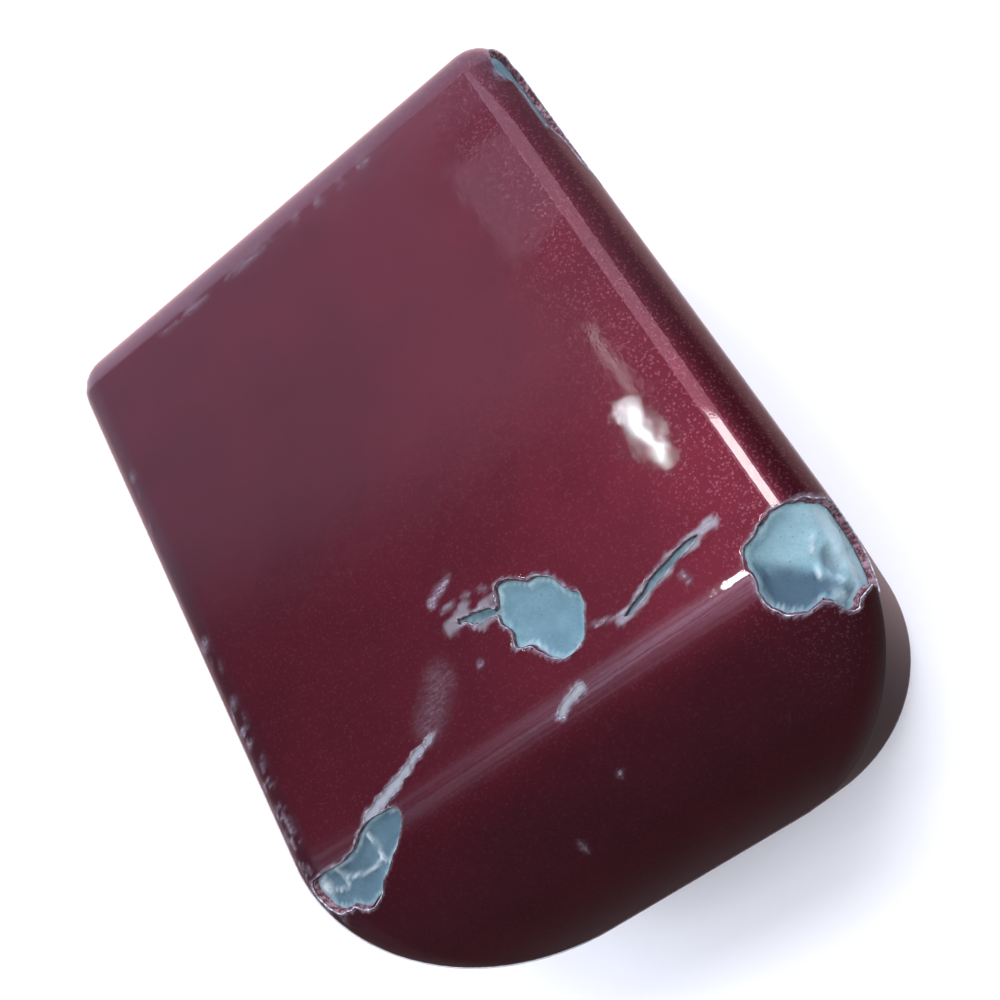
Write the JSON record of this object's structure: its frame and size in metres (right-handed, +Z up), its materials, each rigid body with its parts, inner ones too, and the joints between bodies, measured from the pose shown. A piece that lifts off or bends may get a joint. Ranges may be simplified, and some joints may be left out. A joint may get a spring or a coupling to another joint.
{
  "type": "cue chalk cube",
  "caption": "Pressed cue chalk block in a red metallic lacquer with a clear top coat, chipped by use, with a round cue-tip dish in one end.",
  "frame": {"origin": "middle of the long side that the block rests on, under the middle of its box", "axes": "+X across the block, +Y from the rounded base end towards the dished end, +Z up from the rest side"},
  "size_m": [0.022, 0.0292, 0.022],
  "materials": {
    "chalk": "matt, powdery pressed chalk",
    "base_coat": "dark red metallic lacquer with fine flake",
    "clear_coat": "clear glossy lacquer"
  },
  "bodies": {
    "root": {"chalk_block": "chalk", "base_coat": "base_coat", "clear_coat": "clear_coat"}
  },
  "joints": []
}
